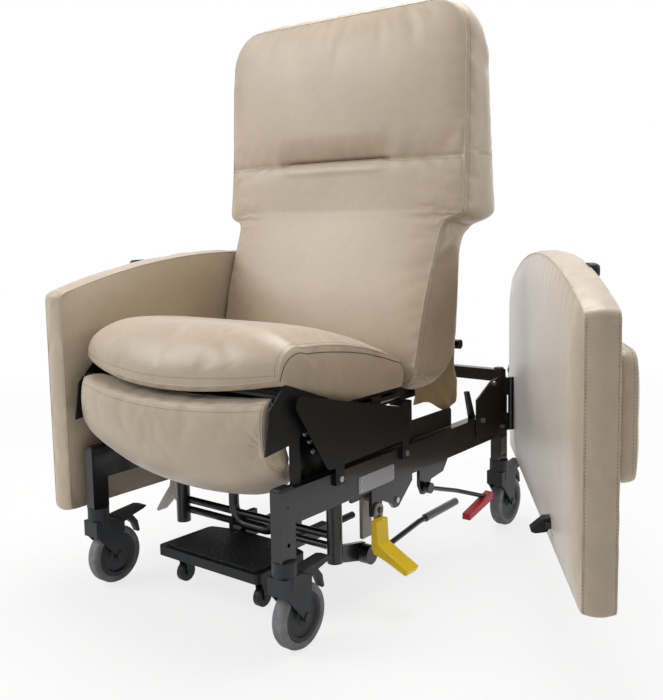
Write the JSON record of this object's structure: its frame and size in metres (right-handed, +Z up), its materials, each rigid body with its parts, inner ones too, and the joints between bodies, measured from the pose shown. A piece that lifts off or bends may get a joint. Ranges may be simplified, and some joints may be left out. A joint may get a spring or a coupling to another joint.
{
  "type": "clinical recliner",
  "caption": "Upholstered clinical recliner on braked casters, with swing-away arms, reclining back, raised legrest, sliding footplate and foot pedals.",
  "frame": {"origin": "on the floor, midway between the four caster posts", "axes": "+Z up, -Y towards the front of the chair where the legrest is, +X to the right of a person who faces the chair"},
  "size_m": [1.2167, 1.0958, 1.271],
  "materials": {
    "upholstery": "satin",
    "skirt_cloth": "satin",
    "black_metal": "satin",
    "black_plastic": "matte",
    "caster_plastic": "matte",
    "hub_plastic": "satin",
    "tyre_grey": "matte",
    "tread_rubber": "matte",
    "yellow_plastic": "gloss",
    "red_plastic": "gloss",
    "lever_metal": "satin",
    "steel": "satin",
    "plate_metal": "satin",
    "grip_grey": "satin",
    "board": "matte"
  },
  "bodies": {
    "frame": {"side_frame_right": "black_metal", "side_frame_left": "black_metal", "post_caps": "black_plastic", "rear_cross_tube": "black_metal", "seat_support_frame": "black_metal", "seat_pan": "board", "seat_cushion": "upholstery", "rail_brackets": "black_metal", "frame_fasteners": "steel", "guard_plates": "black_plastic", "name_plate": "plate_metal", "hinge_brackets": "black_metal", "hinge_pins": "steel", "lower_frame": "black_metal", "link_bar": "lever_metal", "caster_collars": "caster_plastic"},
    "arm_right": {"arm_panel_right": "upholstery", "arm_pad_right": "upholstery", "arm_fittings_right": "black_metal"},
    "arm_left": {"arm_panel_left": "upholstery", "arm_pad_left": "upholstery", "arm_fittings_left": "black_metal"},
    "latch_right": {"latch_hook_right": "black_plastic"},
    "latch_left": {"latch_hook_left": "black_plastic"},
    "release_right": {"release_lever_right": "black_plastic"},
    "release_left": {"release_lever_left": "black_plastic"},
    "back": {"back_cushion": "upholstery", "back_panel": "black_plastic", "back_frame": "black_metal", "back_skirt": "skirt_cloth"},
    "legrest_slide": {"legrest_carrier": "black_metal"},
    "legrest": {"legrest_pad": "upholstery", "legrest_board": "board"},
    "footplate": {"footplate_board": "black_plastic", "footplate_tread": "tread_rubber"},
    "foot_wheel_right": {"foot_wheel_right": "black_plastic"},
    "foot_wheel_left": {"foot_wheel_left": "black_plastic"},
    "yellow_pedal": {"yellow_lever": "lever_metal", "yellow_pedal": "yellow_plastic"},
    "taupe_lever": {"taupe_lever": "lever_metal"},
    "foot_rod": {"foot_rod": "black_metal", "foot_rod_sleeve": "grip_grey"},
    "red_pedal": {"red_lever_bar": "black_metal", "red_pedal": "red_plastic"},
    "caster_front_right": {"caster_fork_front_right": "caster_plastic"},
    "wheel_front_right": {"caster_hub_front_right": "hub_plastic", "caster_tyre_front_right": "tyre_grey"},
    "brake_front_right": {"brake_pedal_front_right": "caster_plastic"},
    "caster_front_left": {"caster_fork_front_left": "caster_plastic"},
    "wheel_front_left": {"caster_hub_front_left": "hub_plastic", "caster_tyre_front_left": "tyre_grey"},
    "brake_front_left": {"brake_pedal_front_left": "caster_plastic"},
    "caster_rear_right": {"caster_fork_rear_right": "caster_plastic"},
    "wheel_rear_right": {"caster_hub_rear_right": "hub_plastic", "caster_tyre_rear_right": "tyre_grey"},
    "brake_rear_right": {"brake_pedal_rear_right": "caster_plastic"},
    "caster_rear_left": {"caster_fork_rear_left": "caster_plastic"},
    "wheel_rear_left": {"caster_hub_rear_left": "hub_plastic", "caster_tyre_rear_left": "tyre_grey"},
    "brake_rear_left": {"brake_pedal_rear_left": "caster_plastic"}
  },
  "joints": [
    {"name": "arm_right_swing", "type": "hinge", "parent": "frame", "child": "arm_right", "pos_m": [0.291, 0.43, 0.255], "axis": [0, 0, 1], "range_deg": [-32.5, 57.5]},
    {"name": "arm_left_swing", "type": "hinge", "parent": "frame", "child": "arm_left", "pos_m": [-0.291, 0.43, 0.255], "axis": [0, 0, -1], "range_deg": [0, 90]},
    {"name": "latch_right_turn", "type": "hinge", "parent": "arm_right", "child": "latch_right", "pos_m": [0.62301, -0.0865, 0.22505], "axis": [0.5373, -0.8434, 0], "range_deg": [0, 10], "stiffness_Nm_per_rad": 0.6},
    {"name": "latch_left_turn", "type": "hinge", "parent": "arm_left", "child": "latch_left", "pos_m": [-0.2935, -0.184, 0.22505], "axis": [0, 1, 0], "range_deg": [0, 10], "stiffness_Nm_per_rad": 0.6},
    {"name": "release_right_turn", "type": "hinge", "parent": "arm_right", "child": "release_right", "pos_m": [0.68148, -0.05637, 0.637], "axis": [0.8434, 0.5373, 0], "range_deg": [0, 20], "stiffness_Nm_per_rad": 1.5},
    {"name": "release_left_turn", "type": "hinge", "parent": "arm_left", "child": "release_left", "pos_m": [-0.359, -0.19, 0.637], "axis": [1, 0, 0], "range_deg": [0, 20], "stiffness_Nm_per_rad": 1.5},
    {"name": "back_recline", "type": "hinge", "parent": "frame", "child": "back", "pos_m": [0, 0.15, 0.409], "axis": [-1, 0, 0], "range_deg": [0, 34]},
    {"name": "legrest_extend", "type": "slide", "parent": "frame", "child": "legrest_slide", "axis": [0, -1, 0], "range_m": [0, 0.061]},
    {"name": "legrest_raise", "type": "hinge", "parent": "legrest_slide", "child": "legrest", "pos_m": [0, -0.422, 0.462], "axis": [-1, 0, 0], "range_deg": [0, 85]},
    {"name": "footplate_slide", "type": "slide", "parent": "frame", "child": "footplate", "axis": [0, -1, 0], "range_m": [0, 0.2]},
    {"name": "yellow_pedal_turn", "type": "hinge", "parent": "frame", "child": "yellow_pedal", "pos_m": [0.2755, -0.133, 0.198], "axis": [1, 0, 0], "range_deg": [0, 15], "stiffness_Nm_per_rad": 6},
    {"name": "taupe_lever_turn", "type": "hinge", "parent": "frame", "child": "taupe_lever", "pos_m": [-0.2755, -0.135, 0.198], "axis": [1, 0, 0], "range_deg": [0, 15], "stiffness_Nm_per_rad": 6},
    {"name": "foot_rod_turn", "type": "hinge", "parent": "frame", "child": "foot_rod", "pos_m": [0.232, -0.126, 0.095], "axis": [1, 0, 0], "range_deg": [-5, 10]},
    {"name": "red_pedal_turn", "type": "hinge", "parent": "frame", "child": "red_pedal", "pos_m": [0.266, 0.062, 0.194], "axis": [-1, 0, 0], "range_deg": [0, 12]},
    {"name": "foot_wheel_right_roll", "type": "hinge", "parent": "footplate", "child": "foot_wheel_right", "pos_m": [0.112, -0.307, 0.035], "axis": [1, 0, 0], "continuous": true},
    {"name": "foot_wheel_left_roll", "type": "hinge", "parent": "footplate", "child": "foot_wheel_left", "pos_m": [-0.112, -0.307, 0.035], "axis": [1, 0, 0], "continuous": true},
    {"name": "swivel_front_right", "type": "hinge", "parent": "frame", "child": "caster_front_right", "pos_m": [0.2665, -0.413, 0.15], "axis": [0, 0, 1], "continuous": true},
    {"name": "roll_front_right", "type": "hinge", "parent": "caster_front_right", "child": "wheel_front_right", "pos_m": [0.2665, -0.376, 0.0625], "axis": [1, 0, 0], "continuous": true},
    {"name": "brake_front_right_press", "type": "hinge", "parent": "caster_front_right", "child": "brake_front_right", "pos_m": [0.2665, -0.375, 0.139], "axis": [-1, 0, 0], "range_deg": [0, 5.5]},
    {"name": "swivel_front_left", "type": "hinge", "parent": "frame", "child": "caster_front_left", "pos_m": [-0.2665, -0.413, 0.15], "axis": [0, 0, 1], "continuous": true},
    {"name": "roll_front_left", "type": "hinge", "parent": "caster_front_left", "child": "wheel_front_left", "pos_m": [-0.2665, -0.376, 0.0625], "axis": [1, 0, 0], "continuous": true},
    {"name": "brake_front_left_press", "type": "hinge", "parent": "caster_front_left", "child": "brake_front_left", "pos_m": [-0.2665, -0.375, 0.139], "axis": [-1, 0, 0], "range_deg": [0, 5.5]},
    {"name": "swivel_rear_right", "type": "hinge", "parent": "frame", "child": "caster_rear_right", "pos_m": [0.2665, 0.413, 0.15], "axis": [0, 0, 1], "continuous": true},
    {"name": "roll_rear_right", "type": "hinge", "parent": "caster_rear_right", "child": "wheel_rear_right", "pos_m": [0.2665, 0.45, 0.0625], "axis": [1, 0, 0], "continuous": true},
    {"name": "brake_rear_right_press", "type": "hinge", "parent": "caster_rear_right", "child": "brake_rear_right", "pos_m": [0.2665, 0.451, 0.139], "axis": [-1, 0, 0], "range_deg": [0, 5.5]},
    {"name": "swivel_rear_left", "type": "hinge", "parent": "frame", "child": "caster_rear_left", "pos_m": [-0.2665, 0.413, 0.15], "axis": [0, 0, 1], "continuous": true},
    {"name": "roll_rear_left", "type": "hinge", "parent": "caster_rear_left", "child": "wheel_rear_left", "pos_m": [-0.2665, 0.45, 0.0625], "axis": [1, 0, 0], "continuous": true},
    {"name": "brake_rear_left_press", "type": "hinge", "parent": "caster_rear_left", "child": "brake_rear_left", "pos_m": [-0.2665, 0.451, 0.139], "axis": [-1, 0, 0], "range_deg": [0, 5.5]}
  ],
  "couplings": [
    {"joint": "legrest_extend", "follows": "legrest_raise", "m_per_rad": 0.040444}
  ]
}
